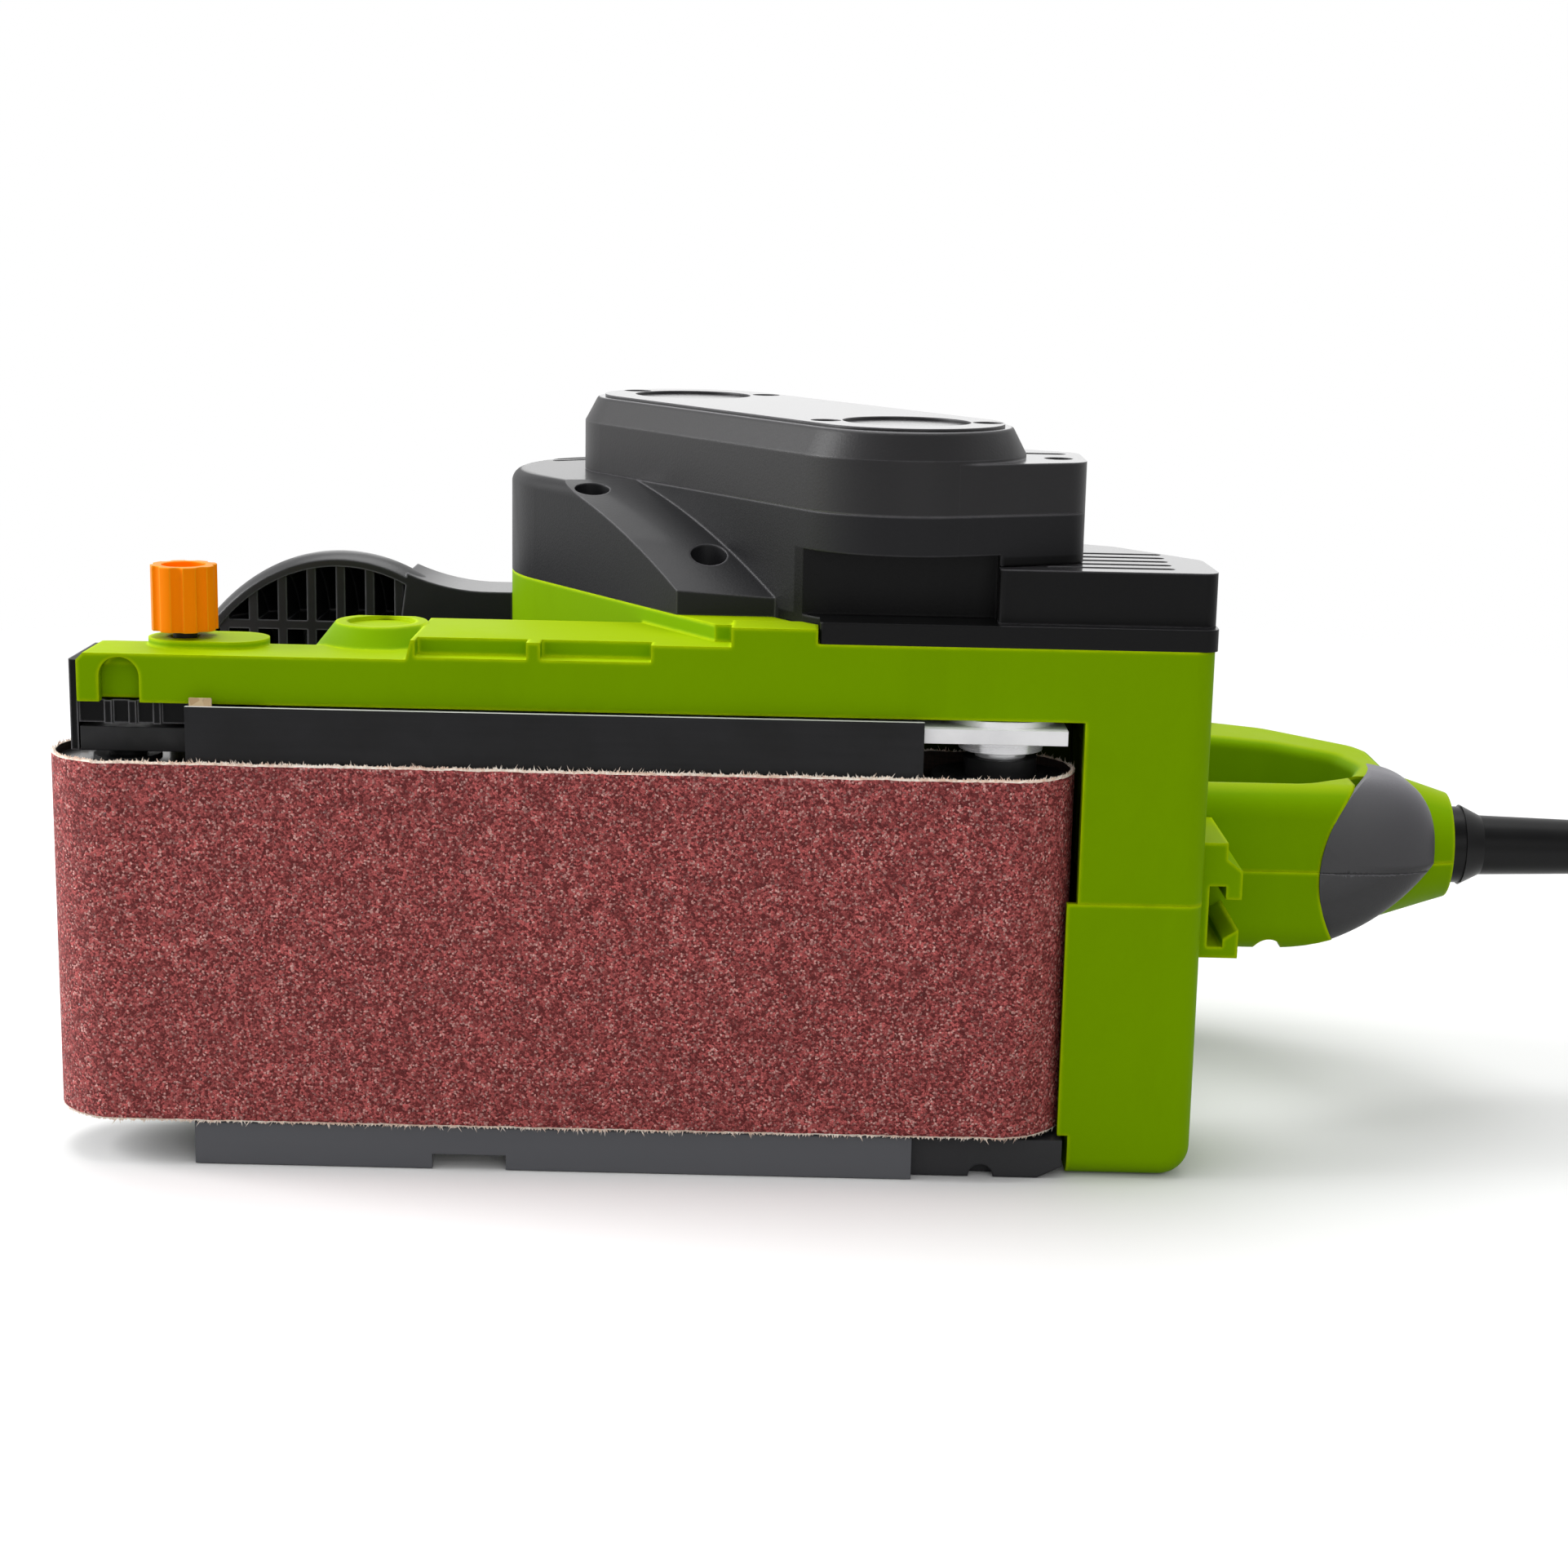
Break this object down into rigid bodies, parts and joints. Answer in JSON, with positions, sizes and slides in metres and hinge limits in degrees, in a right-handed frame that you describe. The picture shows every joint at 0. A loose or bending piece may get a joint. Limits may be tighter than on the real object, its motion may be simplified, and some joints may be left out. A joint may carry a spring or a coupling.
{
  "type": "belt sander",
  "caption": "Corded hand belt sander with an abrasive belt over rollers and a platen, a loop handle, a front grip, a tracking knob and a belt drive under a side cover.",
  "frame": {"origin": "centre of the tool's box without the cord, on the surface that it lies on", "axes": "+X from the front roller to the cord's sleeve, -Y out of the sanding face, +Z from the right side that the tool lies on towards the drive cover on its left side"},
  "size_m": [0.5572, 0.1795, 0.1547],
  "materials": {
    "green_plastic": "satin moulded plastic",
    "black_plastic": "satin moulded plastic",
    "soft_grip": "fine textured soft grip",
    "orange_plastic": "satin moulded plastic",
    "abrasive": "coated abrasive cloth",
    "black_steel": "blackened steel strip",
    "cork": "pressed cork",
    "die_cast": "die cast",
    "turned_aluminium": "turned",
    "steel": "ground",
    "laminated_steel": "laminated",
    "copper": "varnished windings",
    "brass": "plain",
    "carbon": "pressed carbon",
    "black_rubber": "moulded rubber",
    "cord_rubber": "smooth sheath",
    "white_plastic": "moulded plastic"
  },
  "bodies": {
    "housing": {"brush_holders": "brass", "carbon_brushes": "carbon", "cord": "cord_rubber", "cord_coil": "cord_rubber", "cord_tie": "black_plastic", "counter_bearings": "steel", "cover_screws": "steel", "drive_bearing_left": "steel", "drive_bearing_right": "steel", "drive_belt": "black_rubber", "drive_bracket": "black_plastic", "drive_cover": "black_plastic", "dust_rail": "green_plastic", "field_coils": "copper", "final_belt": "black_rubber", "frame": "die_cast", "frame_screws": "steel", "front_grip": "black_plastic", "front_guard": "black_plastic", "gear_housing": "black_plastic", "handle_pad_left": "soft_grip", "handle_pad_right": "soft_grip", "housing_screws": "steel", "left_shell": "green_plastic", "lever_pin": "steel", "motor_bearings": "steel", "platen": "black_steel", "platen_pad": "cork", "platen_screws": "steel", "plug": "black_plastic", "plug_pins": "brass", "right_shell": "green_plastic", "sanding_belt": "abrasive", "shell_screws": "steel", "stator": "laminated_steel", "strain_relief": "cord_rubber", "switch_body": "black_plastic", "tension_spring": "steel", "vent_grille": "black_plastic"},
    "armature": {"armature_core": "laminated_steel", "armature_shaft": "steel", "commutator": "copper", "armature_windings": "copper", "fan": "white_plastic", "motor_pulley": "steel"},
    "counter": {"countershaft": "steel", "driven_pulley": "white_plastic"},
    "drive_roller": {"drive_drum": "turned_aluminium", "drum_rubber": "black_rubber", "drive_shaft": "steel", "roller_pulley": "steel"},
    "yoke": {"front_yoke": "black_steel", "front_axle": "steel"},
    "idler_roller": {"front_roller": "black_plastic", "front_bushes": "brass"},
    "lever": {"tension_lever": "steel"},
    "tracking": {"tracking_knob": "orange_plastic", "tracking_screw": "black_steel"},
    "trigger_key": {"trigger": "black_plastic"},
    "lock_key": {"lock_button": "black_plastic"}
  },
  "joints": [
    {"name": "motor_spin", "type": "hinge", "parent": "housing", "child": "armature", "pos_m": [-0.0515, 0.029, 0], "axis": [0, 0, 1], "continuous": true},
    {"name": "counter_spin", "type": "hinge", "parent": "housing", "child": "counter", "pos_m": [-0.004, -0.041, 0], "axis": [0, 0, 1], "continuous": true},
    {"name": "drive_roller_spin", "type": "hinge", "parent": "housing", "child": "drive_roller", "pos_m": [0.01688, -0.0555, 0], "axis": [0, 0, 1], "continuous": true},
    {"name": "yoke_slide", "type": "slide", "parent": "housing", "child": "yoke", "axis": [1, 0, 0], "range_m": [0, 0.006], "stiffness_N_per_m": 4000, "springref_m": -0.003, "deforming": ["tension_spring"]},
    {"name": "idler_roller_spin", "type": "hinge", "parent": "yoke", "child": "idler_roller", "pos_m": [-0.1645, -0.0555, 0], "axis": [0, 0, 1], "continuous": true},
    {"name": "lever_swing", "type": "hinge", "parent": "housing", "child": "lever", "pos_m": [-0.12, -0.0555, 0], "axis": [0, 0, 1], "range_deg": [0, 50]},
    {"name": "tracking_turn", "type": "hinge", "parent": "housing", "child": "tracking", "pos_m": [-0.153, -0.051, 0], "axis": [0, 0, 1], "range_deg": [-180, 180]},
    {"name": "trigger_press", "type": "slide", "parent": "housing", "child": "trigger_key", "axis": [0, 1, 0], "range_m": [0, 0.0045], "stiffness_N_per_m": 900, "springref_m": -0.002},
    {"name": "lock_press", "type": "slide", "parent": "housing", "child": "lock_key", "axis": [0, 0, -1], "range_m": [0, 0.003], "stiffness_N_per_m": 900, "springref_m": -0.002}
  ],
  "couplings": [
    {"joint": "counter_spin", "follows": "motor_spin", "ratio": 0.25},
    {"joint": "drive_roller_spin", "follows": "motor_spin", "ratio": 0.15132},
    {"joint": "idler_roller_spin", "follows": "motor_spin", "ratio": 0.15132},
    {"joint": "lever_swing", "follows": "yoke_slide", "rad_per_m": 145.4}
  ]
}
